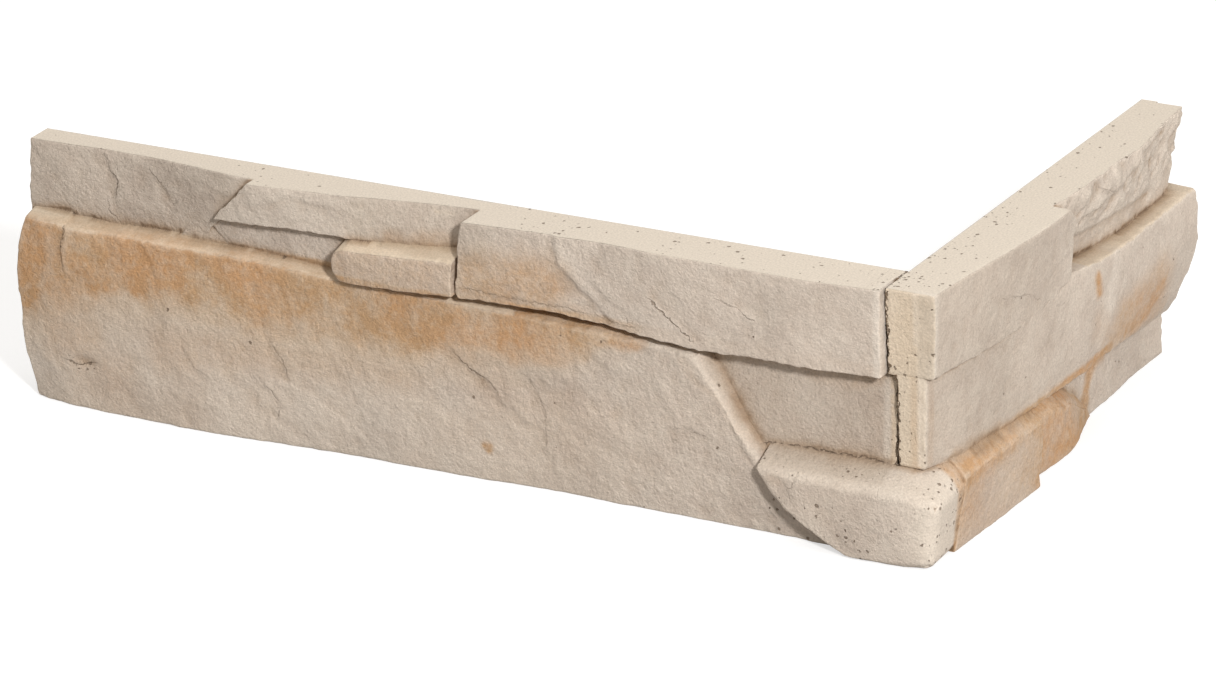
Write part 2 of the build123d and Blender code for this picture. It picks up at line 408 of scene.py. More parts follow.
stones.append(stone(
    "upper_side_stone", "short",
    low=[(-17.2, 68), (0, 67.5), (49, 66), (66, 68), (81, 71.8)],
    high=[(-17.5, course), (76, course)],
    left=[(-17.2, 68), (-17.5, course)],
    right=[(81, 71.8), (80.5, 80), (82, 93), (80, 97), (76, course)],
    out=[(-17.5, 17.5, 18.5, 19), (0, 19.5, 20, 20.1), (25, 21.5, 22.5, 23), (51, 22, 24, 25.7),
         (70, 22.8, 24.2, 26.2), (81, 22.8, 24.2, 25)],
    lean=(0, 3), seed=63, swell=0.25, layers=0.08, worn=0.9, step=1.15,
    notes=[broken("short", [(28, 82.6), (38, 80.5), (47, 77.6), (55, 73)], 0.3, dark=0.35)],
))
stones.append(stone(
    "rough_stone", "short",
    low=[(74, 65), (180, 65)],
    high=[(74, course), (186, course)],
    left=[(74, 65), (74, course)],
    right=[(180, 65), (179.5, 72), (181.3, 76), (181, 80), (179.5, 83.5), (184, 84.5), (181.8, 92.5),
           (186, 96), (186, course)],
    out=[(74, 11, 16, 18.7), (96, 11, 17, 19.8), (110, 12, 18, 20.5), (127, 13.5, 19, 20.1),
         (142, 15, 19.5, 21), (158, 14.5, 17, 17.9), (170, 14, 16.5, 17.3), (182, 13, 15, 17.8),
         (187, 12.5, 14, 16.3)],
    seed=71, swell=0.4, layers=0.15, worn=0.5, step=0.85,
    notes=[chipped([(74, 81.5), (114, 80.5), (139, 79.5), (156, 77.5), (186, 76)], 0.42),
           broken("short", [(84, 81.5), (100, 80.5), (114, 79.4), (139, 78.2), (156, 76.5)],
                  1.3, 1.6, dark=0),
           broken("short", [(166, 97.6), (146, 97), (133, 92), (120, 88.6), (100, 87)], -0.9, 1.4, dark=0.3),
           broken("short", [(108, 98), (112, 94), (122, 90)], 0.5, dark=0.3)],
))

# Short leg, the big middle stone: set back at the corner, full in its middle, and
# undercut towards its broken far end.

stones.append(stone(
    "big_side_stone", "short",
    low=[(-17, 33.4), (-7, 32), (0, 30), (50, 30), (88, 28.5), (130, 27), (162, 22), (188, 17)],
    high=[(-17, 70), (50, 68), (68, 69.5), (80, 72.6), (93, 71.3), (107, 69.3), (130, 68.2), (188, 68.2)],
    left=[(-17, 33.4), (-17, 70)],
    right=[(188, 17), (186, 24), (185.5, 31), (187, 38), (188, 48), (186.8, 56), (187.6, 62), (187, 68.2)],
    out=[(-17, 12.5, 13.2, 14), (0, 16.8, 17.6, 18), (25, 18.3, 19.5, 20.5), (50, 19, 21, 22),
         (92, 19.5, 22.5, 22.5), (130, 17.5, 22, 22.5), (150, 15.5, 21.5, 22), (188, 8.5, 20.8, 21.3)],
    rise=1, seed=82, swell=0.34, layers=0.16, worn=1.0, step=1.1,
))

# Bottom stones: the corner stone with a broad sloping ledge, two low ones that carry it
# on round the short leg, and the thin flat face beside them.

stones.append(stone(
    "corner_stone", "long",
    low=[(-13, 0), (20.4, 0)],
    high=[(-49, 28), (-43, 28), (-10, 28), (16, 27.5), (23.5, 26)],
    left=[(-13, 0), (-22, 5), (-31, 10.4), (-37, 14), (-43, 19.4), (-47.5, 25), (-49, 28)],
    right=[(20.4, 0), (21.2, 8), (22.2, 16), (23.5, 26)],
    out=[(-50, 26, 27, 27), (-36, 28, 28.8, 28.5), (-10, 28.7, 29.5, 29.3), (10, 28.9, 29.6, 29.3),
         (21, 28, 28.5, 28)],
    rise=[(8, 12), (23, 1)], lean=(0, -1.5), seed=95, swell=0.4, layers=0.15, ragged=0.3, step=0.9,
    worn=[(-49, 0.8), (-20, 2.0), (8, 2.6), (16, 4.2)],
    notes=[broken("long", [(-33, 25), (-36, 22), (-34.5, 19)], 0.3, dark=0.5)],
))
stones.append(stone(
    "low_side_stone", "short",
    low=[(-9, 0), (56, 0)],
    high=[(-3, 27), (20, 27.5), (55, 26)],
    left=[(-9, 0), (-6, 14), (-3, 27)],
    right=[(56, 0), (54, 6), (56, 12), (55, 26)],
    out=[(-9, 19.6, 20.8, 22), (25, 21, 22, 22.8), (56, 21.6, 22.5, 23)],
    rise=22, seed=104, swell=0.25, layers=0.12, worn=0.8,
))
stones.append(stone(
    "low_far_stone", "short",
    low=[(50, 0), (122, 0)],
    high=[(50, 22), (75, 23.5), (95, 17), (117, 5)],
    left=[(50, 0), (50, 22)],
    right=[(122, 0), (117, 5)],
    out=[(50, 16.5, 17, 17), (77, 18, 18.5, 18), (92, 17.8, 17.5, 17), (105, 14, 14, 13.5), (122, 9, 9, 9)],
    rise=14, seed=113, swell=0.45, layers=0.25, worn=1.4,
))
stones.append(stone(
    "thin_face", "short",
    low=[(60, 0), (187, 0)],
    high=[(60, 36), (187, 36)],
    left=[(60, 0), (60, 36)],
    right=[(187, 0), (187, 36)],
    out=[(60, 8.8, 8.8, 8.8), (139, 8.6, 8.6, 8.6), (158, 7.4, 7.5, 8), (172, 6.4, 7, 8), (187, 7.5, 7.5, 8)],
    seed=121, swell=0.25, layers=0.1,
))

# The backing that all the stones are cast on: a flat wall along each leg. The cast runs
# together into a single skin with them.

for leg, start, end in (("long", -358.5, 0.0), ("short", -4.5, 187.0)):
    stones.append(stone(
        "backing_" + leg, leg,
        low=[(start, 0), (end, 0)], high=[(start, course), (end, course)],
        left=[(start, 0), (start, course)], right=[(end, 0), (end, course)],
        out=[(start, 6.5, 6.5, 6.5), (end, 6.5, 6.5, 6.5)],
        swell=0, layers=0, ragged=0, worn=0.3, step=5,
    ))

# Under the slab the break between the legs lies 3 mm further to the right than above it:
# a slot is cut there before the corner's recessed stone is joined on. Above foot, the
# height of the ledge of the bottom stones, the two legs' stones stand apart.
foot = 33
slot_ends = np.array([(x, y, z) for x in (-0.4, 3.1) for y in (-30, -7) for z in (foot + 0.6, 67.8)])
slot_sides = [(0, 1, 3, 2), (4, 6, 7, 5), (0, 4, 5, 1), (2, 3, 7, 6), (0, 2, 6, 4), (1, 5, 7, 3)]
slot_mesh = bpy.data.meshes.new("slot")
slot_mesh.from_pydata(slot_ends * 0.001, [], slot_sides)
slot = bpy.data.objects.new("slot", slot_mesh)
bpy.context.scene.collection.objects.link(slot)
recess = next(block for block in stones if block.name == "corner_recess")
stones = [block for block in stones if block is not recess] + [slot, recess]
casting = stones[0]
casting.name = "casting"
for block in stones[1:]:
    join = casting.modifiers.new("cast_with_" + block.name, "BOOLEAN")
    join.operation = "DIFFERENCE" if block is slot else "UNION"
    join.solver = "MANIFOLD"
    join.object = block
casting.modifiers.new("facets", "TRIANGULATE")
whole = bpy.data.meshes.new_from_object(casting.evaluated_get(bpy.context.evaluated_depsgraph_get()))
casting.modifiers.clear()
for block in stones[1:]:
    bpy.data.objects.remove(block)


def mesh_points(mesh):
    """The points of a mesh in millimetres, its edges and its triangles, as arrays."""
    places, ends = np.empty(len(mesh.vertices) * 3), np.empty(len(mesh.edges) * 2, int)
    rings = np.empty(len(mesh.loops), int)
    mesh.vertices.foreach_get("co", places)
    mesh.edges.foreach_get("vertices", ends)
    mesh.loops.foreach_get("vertex_index", rings)
    return places.reshape(-1, 3) * 1000, ends.reshape(-1, 2), rings.reshape(-1, 3)


# Two stones that nearly touch can close in a bubble smaller than a pinhole, so only the
# outer skin is kept: points get the lowest number that any point joined to them has.
points, pairs, triangles = mesh_points(whole)
group = np.arange(len(points))
for _ in range(60):
    lowest = np.minimum(group[pairs[:, 0]], group[pairs[:, 1]])
    np.minimum.at(group, pairs[:, 0], lowest)
    np.minimum.at(group, pairs[:, 1], lowest)
    group = group[group[group]]
outer = np.bincount(group).argmax()
used, triangles = np.unique(triangles[group[triangles[:, 0]] == outer], return_inverse=True)
points = points[used]


def past_break(places):
    """How far points lie to the right of the break between the legs, which steps 3 mm under the slab."""
    return places[:, 0] - np.where(places[:, 2] > 67.9, -0.5, 2.55)


# The break between the two legs is crumbled: its sides wander by half a millimetre, less
# and less over the last 2 mm under its top.
crumbled = np.exp(-(past_break(points) / 1.5) ** 2) * (points[:, 1] < -7.5)
crumbled *= np.clip((course - 0.5 - points[:, 2]) / 2, 0, 1)
points[:, 0] += 0.5 * crumbled * (cloud(points, 1.9, 500) + cloud(points, 4.5, 501))
skin = bpy.data.meshes.new("casting")
skin.from_pydata(points * 0.001, [], triangles.reshape(-1, 3).tolist())
casting.data = skin
skin.shade_smooth()
skin.set_sharp_from_angle(angle=np.radians(48))

# Colour of the casting. The mould is dusted with oxides before the pour: an ochre band and patches, and cream
# where a face was cut or lies against the mould. Brown lines mark the breaks, and painted shade darkens the
# hollows, the creases and seams where stones meet, and the inside of the gap between the legs. Each of these
# is a value from 0 to 1 on the casting's points, which its material mixes in.

count = len(points)
points, pairs, triangles = mesh_points(skin)
normals = np.empty(count * 3)
skin.vertex_normals.foreach_get("vector", normals)
normals = normals.reshape(-1, 3)
neighbours = np.bincount(pairs.ravel(), minlength=count)[:, None]


def smoothed(values, rounds):
    """Values at the points, each replaced by the mean of its neighbours a number of times."""
    for _ in range(rounds):
        total = np.zeros_like(values)
        np.add.at(total, pairs[:, 0], values[pairs[:, 1]])
        np.add.at(total, pairs[:, 1], values[pairs[:, 0]])
        values = total / neighbours
    return values


def hollowness(rounds):
    """How far points lie below the mean of their neighbours, against the way the skin faces."""
    return smoothed(np.einsum("ij,ij->i", smoothed(points, rounds) - points, normals)[:, None], 1)[:, 0]


# Hollowness at three sizes, for the painted shade in the hollows, the creases and the seams where stones
# meet; the ridges, which stand out, are made lighter.
hollow, crease_shade, seam_shade = hollowness(12), hollowness(3), hollowness(1)
x, y, up = points.T
on_long = (x < 0.4) & (y < 0.5)
place = np.where(on_long, x, y)
long_leg, short_leg = on_long.astype(float), (~on_long).astype(float)
wander = 3.0 * np.stack([cloud(points, 14, k) + 0.6 * cloud(points, 5, k + 3) for k in (201, 202)], axis=-1)
rough_place, rough_up = place + wander[:, 0], up + wander[:, 1]


def patch(where, line, reach, fade):
    """A stain along a line: full within reach of it, then an S curve down to nothing over fade.

    The distance is that of the shaken places, so that the stain's border wanders.
    """
    signed, beyond = line_field(line, rough_place, rough_up)
    share = np.clip(1 - (np.abs(signed) - reach) / fade, 0, 1)
    return where * share * share * (3 - 2 * share)


ledges = np.clip((normals[:, 2] - 0.45) / 0.25, 0, 1) * (up < course - 1)

# The ochre band on the large lower stone: full above a wavy floor, softly gone below it
# and towards the corner, blotched, with two bare spots and five stronger ones. A faint
# haze of the same oxide lies over the rest of the stone.
lower = long_leg * np.clip((72.8 - up) / 1.2, 0, 1)
band_floor = np.interp(place, (-362, -330, -310, -270, -236, -206, -176, -147, -120, -95),
                       (30, 40, 44, 44, 40, 43, 46, 50, 60, 69))
depth = (rough_up - band_floor) / 15
band_end = np.clip((-90 - rough_place) / 30, 0, 1)
blotch = 0.78 + 0.28 * cloud(points, 34, 310) + 0.3 * cloud(points, 12, 311) + 0.15 * cloud(points, 4, 312)
ochre = lower * np.clip(depth + 0.4, 0, 1) * band_end * np.clip(blotch, 0.5, 1)
bare = 0.7 * patch(lower, [(-319, 35), (-316, 42)], 4, 9)
bare += 0.35 * patch(lower, [(-230, 55), (-225, 54)], 2, 8)
ochre *= 1 - bare
for line, reach, fade, amount in (
    ([(-321, 61), (-288, 62)], 5, 12, 0.35),
    ([(-266, 66), (-240, 60)], 4, 10, 0.3),
    ([(-203, 58), (-184, 59)], 4, 10, 0.3),
    ([(-150, 57), (-128, 61)], 4, 9, 0.25),
    ([(-361, 66), (-362, 44)], 2, 9, 0.45),
):
    ochre += amount * patch(lower, line, reach, fade)
faint = np.clip(0.17 + 0.2 * cloud(points, 45, 320) + 0.16 * cloud(points, 16, 321), 0, 0.5)
faint *= np.interp(place, (-360, -250, -120, -60), (1.6, 1.1, 0.5, 0.3)) * np.interp(up, (5, 35), (0.45, 1.1))
ochre = np.maximum(ochre, lower * faint)

slab_face = long_leg * (up > 66.5) * (place > -172)
# Stains outside the band: where one may lie, the line that it follows, how far from the
# line it is full, over how much it fades, and how strong it is.
for where, line, reach, fade, amount in (
    (slab_face, [(-162, 78), (-150, 80), (-138, 81)], 4, 14, 0.65),
    (slab_face, [(-168, 74), (-120, 71)], 1, 5, 0.35),
    (long_leg * (up > 68.5), [(-218, 75), (-174, 77)], 7, 5, 0.42),
    (long_leg * (up > 80), [(-200, 86), (-172, 86)], 1, 5, 0.35),
    (long_leg, [(-164, 13.1), (-163.5, 12.4)], 0.8, 3.0, 0.9),
    (long_leg * (up < 71), [(-80, 60), (-54, 33)], 0.5, 4, 0.14),
    (short_leg * (up > 22), [(104, 44), (110, 40)], 1, 9, 0.28),
    (short_leg * (up > 22), [(126, 36), (156, 38)], 4, 15, 0.6),
    (short_leg * (up > 22), [(134, 30), (150, 32), (160, 39)], 2, 8, 0.8),
    (short_leg * (up > 22), [(112, 31), (170, 27)], 1, 7, 0.4),
    (short_leg, [(102, 63), (103, 57)], 0.8, 3.5, 0.85),
    (short_leg * (x > 8) * (y < -12), [(-17, 62), (-17, 36)], 1, 8, 0.2),
    (long_leg * (up < 70.5), [(-222, 67), (-172, 66), (-133, 65), (-100, 63)], 1.5, 5, 0.75),
    (long_leg * (up < 69) * (up > foot) * (y > -18.2), [(-86, 67), (-2, 66)], 2, 6, 0.25),
    (short_leg, [(131, 21), (124, 17), (118, 8), (112, 4)], 1, 5, 0.95),
    (short_leg, [(0, 33), (50, 31.5), (94, 29.5)], 0.5, 4, 0.3),
    (long_leg * (up < 36), [(-46, 27), (-40, 24)], 0, 4, 0.2),
    (lower, [(-352, 40), (-346, 24), (-330, 30)], 2, 12, 0.3),
    (lower, [(-300, 30), (-262, 34), (-200, 36)], 2, 14, 0.3),
):
    ochre = np.maximum(ochre, amount * patch(where, line, reach, fade))
ochre *= 1 - 0.55 * ledges * (place < -150)

# The low side stones are ochre all over, most of all further along the leg, at their top
# and on the narrow rim where the first of them meets the corner stone.
low_stones = short_leg * (x > 9.6) * (place > -9) * (place < 121)
low_stones *= np.clip((foot + 0.5 - up) / 2, 0, 1)
tone = np.interp(place, (-9, 2, 40, 50, 54, 110), (0.65, 0.45, 0.45, 0.65, 0.95, 0.95))
tone += 0.35 * cloud(points, 14, 330)
tone += 0.45 * np.clip((up - 21) / 5, 0, 1) * np.clip((place + 4) / 5, 0, 1)
ochre = np.maximum(ochre, low_stones * np.clip(tone, 0, 1))
rim_line = np.interp(up, (0, 14, 27, foot), (-9.3, -6.6, -4.2, -9.5))
rim = short_leg * (x > 13) * (up < foot) * np.exp(-((place - rim_line - 0.3) / 0.7) ** 2)
ochre = np.maximum(ochre, 0.95 * rim)

# Cream and yellow: the cut tops, the ledges, the corner stone's edges, the strip of the short leg's stones
# that shows past the corner, and a few faces made paler: the large stone's lower part, the left of the wedge
# and the rough stone.
tops = np.clip((normals[:, 2] - 0.72) / 0.16, 0, 1) * np.clip((up - (course - 1.0)) / 0.6, 0, 1)
corner = (x > -52) * (y < rim_line + 1) * (up < 34) * (y < -20.5)
corner = np.maximum(corner, (x > 12.6) * (up < 34) * (y < rim_line))
bright = np.maximum(np.clip((x - 8) / 9, 0, 1), np.exp(-((up - 29) / 2.2) ** 2))
strip = (y < -12) & (x > -0.6) & (up > foot) & (normals[:, 1] < -0.5)
pale = np.where(place < -150, 1.0, np.where(place > 95, 0.6, 0.3))
paler = 0.2 * lower * np.clip((36 - up) / 8, 0, 1) * np.clip((-90 - place) / 60, 0, 1)
paler += 0.22 * long_leg * (up > 83) * np.clip((-196 - place) / 20, 0, 1) * (place > -276)
paler += 0.12 * short_leg * (place > 78) * (up > 70)
cream = np.maximum.reduce([tops, ledges * pale, 0.4 * corner * bright, 0.3 * strip, paler])
cream = smoothed(np.clip(cream, 0, 1)[:, None], 1)[:, 0]
yellow = np.maximum(1.0 * strip, 0.8 * ledges * np.where(short_leg > 0, place > 95, place < -150))
yellow = np.maximum(yellow, 0.5 * lower * np.clip(depth + 0.9, 0, 1) * band_end)

# Pits: each value is the share of the cells that hold one. They are dense on the tops
# near the corner and along the short leg's inner edge, and in spots on the corner stone.
near_corner = np.exp(-np.abs(x + 1) / 9) * (y < 0.5)
inner_edge = short_leg * np.exp(-x / 4.5) * np.clip(1.25 - place / 170, 0, 1)
pits = np.maximum.reduce([
    tops * (0.04 + 0.6 * near_corner + 0.9 * inner_edge * np.clip(0.9 + cloud(points, 14, 402), 0, 1)),
    0.25 * tops * long_leg * np.clip(cloud(points, 20, 403), 0, 1),
    0.35 * tops * long_leg * np.exp(-((place + 134) / 15) ** 2),
    corner * np.clip(0.14 + 0.75 * cloud(points, 8, 400), 0.02, 0.7) * (0.4 + 0.6 * bright),
    patch(lower, [(-338, 18.5), (-331, 19.3)], 0.5, 2.5),
    np.clip(0.08 + 0.5 * cloud(points, 6, 401), 0, 1) * strip,
    0.004 * np.ones(count),
])

# Painted shade: faces made greyer and darker in the colour under the slab, and the same greying on the flat
# stone, the wedge's upper right, the corner stone's ledge and the short leg towards the corner.
shade_and_grey = np.maximum.reduce([
    0.35 * long_leg * (up > 71) * np.clip((-268 - place) / 4, 0, 1) * (1 - tops),
    0.5 * patch(long_leg * (up > 84), [(-205, 95), (-172, 95)], 8, 18) * (1 - tops),
    0.38 * long_leg * (up < 68) * (up > foot) * (place > -74) * (y > -18),
    0.55 * long_leg * (up < 42) * np.clip((up - 28.6) / 1.5, 0, 1) * (y < -16) * (place > -48),
    0.5 * short_leg * (x > 12) * np.clip((110 - place) / 80, 0, 1) * (up > foot) * (1 - tops),
])

# Pale edges, on both sides of the break between the legs and across the big side stone, and painted shade,
# nearly black, inside the gap of the break itself.
white_rim = np.maximum.reduce([
    np.exp(-((x + 2.3) / 1.4) ** 2) * on_long * (y < -12) * (up > foot),
    0.5 * patch(short_leg * (up > 30), [(118, 68), (113, 55), (106, 40)], 2, 5),
    np.exp(-((y + 16.3) / 1.3) ** 2) * (x > 11) * (up > foot),
])
joint_gap = past_break(points)
gap_shade = (np.abs(joint_gap) < 1.0) * (y < -5.2) * (y > -15.9)
gap_shade = gap_shade * (up > foot) * (up < course - 0.8)

# The plain back, the painted shade along the seams where stones meet, and where the grain is finer or
# coarser.
back = ((y > -0.3) & (x < 0.3)).astype(float)
seam_shade = (seam_shade / 0.14 - 0.7) * np.clip((0.8 - normals[:, 2]) / 0.1, 0, 1) * (1 - back)
seam_shade *= 1 - patch(long_leg, [(-92, 74), (-50, 28)], 7, 4)
fine = 0.4 * slab_face * np.clip((place + 110) / 20, 0, 1) + 0.5 * short_leg * (up > 27) * (x > 12)
rough = short_leg * (place > 74) * (x > 9) * (1 - tops) * np.clip((course - 0.6 - up) / 1.5, 0, 1)
rough *= np.clip((up - np.interp(place, (74, 139, 186), (81.5, 79, 76))) / 2, 0, 1)

# Cracks: the distance to the nearest of the noted lines on the same leg, in millimetres,
# and how strong it is drawn, less and less over 2 mm past the line's ends.
crack, crack_share = np.full(count, 9.0), np.zeros(count)
for leg, line, dark in drawn_cracks:
    on_leg = on_long if leg == "long" else ~on_long
    signed, beyond = line_field(line, place, up)
    closer = on_leg & (np.abs(signed) < np.abs(crack))
    crack = np.where(closer, signed, crack)
    crack_share = np.where(closer, dark * np.exp(-(beyond / 2) ** 2), crack_share)
crack_share *= (normals[:, 2] < 0.85) * (1 - back)

# The break between the legs is drawn as a crack too: its line over the top, and below
# that the two edges of the gap.
over = (up > course - 0.5) & (y < 0.3) & (np.abs(joint_gap) < 6) & (normals[:, 2] > 0.7)
crack = np.where(over, joint_gap, crack)
crack_share = np.where(over, 1.0, crack_share)
beside = (y < -9) & (up < course - 0.5) & (up > foot + 0.2) & (np.abs(joint_gap) < 4)
beside &= (joint_gap > 0) | (y > -16.6)
crack = np.where(beside, 0.7 * (np.abs(joint_gap) - 0.5), crack)
crack_share = np.where(beside, 1.0, crack_share)

for name, values in {
    "ochre": ochre,
    "cream": cream,
    "shade_and_grey": shade_and_grey,
    "yellow": yellow,
    "pits": pits,
    "back": back,
    "rough": rough,
    "hollow": hollow / 0.6,
    "crease_shade": (crease_shade / 0.3 - 0.5) * (1 - 0.6 * ledges),
    "ridge": -hollow / 0.5 * (1 - 0.7 * ledges),
    "seam_shade": seam_shade,
    "joint": over | beside,
    "fine": fine,
    "white_rim": white_rim,
    "gap_shade": gap_shade,
    "crack_share": crack_share,
}.items():
    layer = skin.attributes.new(name, "FLOAT", "POINT")
    layer.data.foreach_set("value", np.clip(values, 0, 1).astype(np.float32))
layer = skin.attributes.new("crack", "FLOAT", "POINT")
layer.data.foreach_set("value", crack.astype(np.float32))

# The casting's material: unglazed cast concrete, a little sandy, with the painted values
# mixed in, pinholes in random cells and a fine grain that is nearly gone on the ledges.

stone_look = bpy.data.materials.new("cast_stone")
stone_look.use_nodes = True
tree = stone_look.node_tree
nodes, links = tree.nodes, tree.links
shader = nodes["Principled BSDF"]
shader.inputs["Roughness"].default_value = 0.92
shader.inputs["Specular IOR Level"].default_value = 0.25
coords = nodes.new("ShaderNodeTexCoord")


def painted(name):
    """The value painted on the casting's points under a name."""
    node = nodes.new("ShaderNodeAttribute")
    node.attribute_name = name
    return node.outputs["Fac"]


def noise(scale, detail, rough=0.55):
    """A noise texture in the casting's own coordinates, at a number of waves to the metre."""
    node = nodes.new("ShaderNodeTexNoise")
    node.inputs["Scale"].default_value = scale
    node.inputs["Detail"].default_value = detail
    node.inputs["Roughness"].default_value = rough
    links.new(coords.outputs["Object"], node.inputs["Vector"])
    return node.outputs["Fac"]


def remap(value, low, high, to_low=0.0, to_high=1.0):
    """A value from one range laid on another, held at its ends."""
    node = nodes.new("ShaderNodeMapRange")
    for socket, number in zip(("From Min", "From Max", "To Min", "To Max"), (low, high, to_low, to_high)):
        node.inputs[socket].default_value = number
    links.new(value, node.inputs["Value"])
    return node.outputs["Result"]


def sum_up(kind, one, two):
    """One arithmetic step on two values, each a socket or a number."""
    node = nodes.new("ShaderNodeMath")
    node.operation = kind
    for socket, value in zip(node.inputs, (one, two)):
        if isinstance(value, (int, float)):
            socket.default_value = value
        else:
            links.new(value, socket)
    return node.outputs[0]


def blended(share, one, two, kind="MIX"):
    """Two colours blended by a share, each a socket or three numbers."""
    node = nodes.new("ShaderNodeMix")
    node.data_type = "RGBA"
    node.blend_type = kind
    for socket, value in ((node.inputs["Factor"], share), (node.inputs["A"], one), (node.inputs["B"], two)):
        if isinstance(value, (int, float)):
            socket.default_value = value
        elif isinstance(value, tuple):
            socket.default_value = (*value, 1)
        else:
            links.new(value, socket)
    return node.outputs["Result"]


broad, middle_size, small = noise(26, 3), noise(120, 3), noise(420, 3, 0.6)
sandy = noise(1300, 2, 0.6)
greyer_stone, stone_cream, pale_stone = (0.465, 0.390, 0.328), (0.560, 0.476, 0.402), (0.595, 0.524, 0.448)
mould_cream, sand_yellow = (0.66, 0.586, 0.495), (0.60, 0.47, 0.32)
deep_ochre, light_ochre = (0.475, 0.272, 0.135), (0.44, 0.28, 0.155)
back_grey, back_cream = (0.52, 0.48, 0.425), (0.58, 0.535, 0.475)
colour = blended(remap(broad, 0.36, 0.64), greyer_stone, stone_cream)
colour = blended(remap(middle_size, 0.38, 0.7, 0, 0.5), colour, pale_stone)
colour = blended(painted("cream"), colour, mould_cream)
colour = blended(sum_up("MULTIPLY", painted("yellow"), 0.55), colour, sand_yellow)
stain = sum_up("MULTIPLY", painted("ochre"), remap(middle_size, 0.3, 0.7, 0.7, 1.15))
stain = sum_up("MULTIPLY", stain, remap(small, 0.3, 0.7, 0.72, 1.2))
colour = blended(stain, colour, blended(remap(broad, 0.4, 0.6), deep_ochre, light_ochre))
# Lighter rims and ridges, then painted shade: brown in the hollows, darker in the creases and darkest in the
# seams where stones meet.
for name, share, tone in (
    ("white_rim", 0.6, (0.68, 0.61, 0.53)),
    ("ridge", 0.2, (0.70, 0.62, 0.52)),
    ("hollow", 0.5, (0.33, 0.22, 0.13)),
    ("crease_shade", 0.7, (0.26, 0.16, 0.085)),
    ("seam_shade", 0.75, (0.15, 0.095, 0.055)),
):
    colour = blended(sum_up("MULTIPLY", painted(name), share), colour, tone)
# Painted shade, and the same greying elsewhere: the marked faces are darkened and greyed.
colour = blended(painted("shade_and_grey"), colour, blended(1.0, colour, (0.74, 0.72, 0.69), "MULTIPLY"))
colour = blended(painted("back"), colour, blended(remap(broad, 0.3, 0.7), back_grey, back_cream))
darker_sand, lighter_sand = (0.84, 0.84, 0.84), (1.12, 1.12, 1.12)
colour = blended(1.0, colour, blended(remap(sandy, 0.25, 0.75), darker_sand, lighter_sand), "MULTIPLY")

# Pits: cells of under 2 mm with borders shaken by a noise. A cell has a hole where its own
# random number is below the painted share, and a second number gives the hole's size.
uneven = nodes.new("ShaderNodeTexNoise")
uneven.inputs["Scale"].default_value = 800
links.new(coords.outputs["Object"], uneven.inputs["Vector"])
moved = nodes.new("ShaderNodeVectorMath")
moved.operation = "MULTIPLY_ADD"
moved.inputs[1].default_value = (0.0014, 0.0014, 0.0014)
links.new(uneven.outputs["Color"], moved.inputs[0])
links.new(coords.outputs["Object"], moved.inputs[2])
cells = nodes.new("ShaderNodeTexVoronoi")
cells.inputs["Scale"].default_value = 600
links.new(moved.outputs["Vector"], cells.inputs["Vector"])
split = nodes.new("ShaderNodeSeparateColor")
links.new(cells.outputs["Color"], split.inputs["Color"])
chosen = sum_up("LESS_THAN", split.outputs["Red"], painted("pits"))
size = remap(sum_up("POWER", split.outputs["Green"], 2.0), 0, 1, 0.14, 0.46)
hole = sum_up("MULTIPLY", remap(sum_up("SUBTRACT", size, cells.outputs["Distance"]), 0.0, 0.08), chosen)
colour = blended(sum_up("MULTIPLY", hole, 0.75), colour, (0.15, 0.105, 0.07))

# A drawn crack: the distance to its line, shaken by a noise, gives a dark line and a
# groove, full within a tenth of a millimetre of it and gone at a third.
shaken = sum_up("ADD", painted("crack"), remap(noise(420, 3, 0.55), 0.3, 0.7, -0.7, 0.7))
near_line = remap(sum_up("ABSOLUTE", shaken, 0.0), 0.1, 0.32, 1, 0)
line_depth = sum_up("MULTIPLY", near_line, painted("crack_share"))
unbroken = sum_up("MAXIMUM", remap(middle_size, 0.36, 0.5, 0.25, 1), painted("joint"))
line_depth = sum_up("MULTIPLY", line_depth, unbroken)
line_dark = sum_up("MULTIPLY", line_depth, remap(painted("joint"), 0, 1, 0.6, 0.95))
colour = blended(line_dark, colour, (0.14, 0.095, 0.06))
# Painted shade, nearly black, inside the gap of the break between the legs.
colour = blended(sum_up("MULTIPLY", painted("gap_shade"), 0.9), colour, (0.10, 0.07, 0.045))
links.new(colour, shader.inputs["Base Color"])

# Relief: a grain of two sizes, fainter on the cream parts and stronger on the rough stone,
# with the pits and the cracks sunk into it.
pebbly, gritty = noise(330, 2, 0.5), noise(760, 3, 0.7)
grain = sum_up("ADD", sum_up("MULTIPLY", pebbly, 0.4), sum_up("MULTIPLY", gritty, 0.75))
coarse = remap(painted("cream"), 0, 1, 1, 0.2)
coarse = sum_up("MULTIPLY", coarse, remap(painted("rough"), 0, 1, 1, 1.45))
coarse = sum_up("MULTIPLY", coarse, remap(painted("fine"), 0, 1, 1, 0.35))
height = sum_up("SUBTRACT", sum_up("MULTIPLY", grain, coarse), sum_up("MULTIPLY", hole, 0.6))
height = sum_up("SUBTRACT", height, sum_up("MULTIPLY", line_depth, 0.4))
bump = nodes.new("ShaderNodeBump")
bump.inputs["Strength"].default_value = 1.0
bump.inputs["Distance"].default_value = 0.0010
links.new(height, bump.inputs["Height"])
links.new(bump.outputs["Normal"], shader.inputs["Normal"])
casting.data.materials.clear()
casting.data.materials.append(stone_look)
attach(casting, "root")
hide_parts("corner_slip")

# The studio: a pale floor that looks white, a small lamp ahead and to the right that
# throws crisp shadows under the ledges, a broad one above for the tops, and two weaker
# ones, from the right for the far ends and from behind for the back.


def seen_as_white(nodes, links):
    """One for a ray from the camera and for one that was mirrored or let through, and zero for others."""
    path = nodes.new("ShaderNodeLightPath")
    total = path.outputs["Is Camera Ray"]
    for kind in ("Is Glossy Ray", "Is Transmission Ray"):
        either = nodes.new("ShaderNodeMath")
        either.operation = "MAXIMUM"
        links.new(total, either.inputs[0])
        links.new(path.outputs[kind], either.inputs[1])
        total = either.outputs[0]
    return total


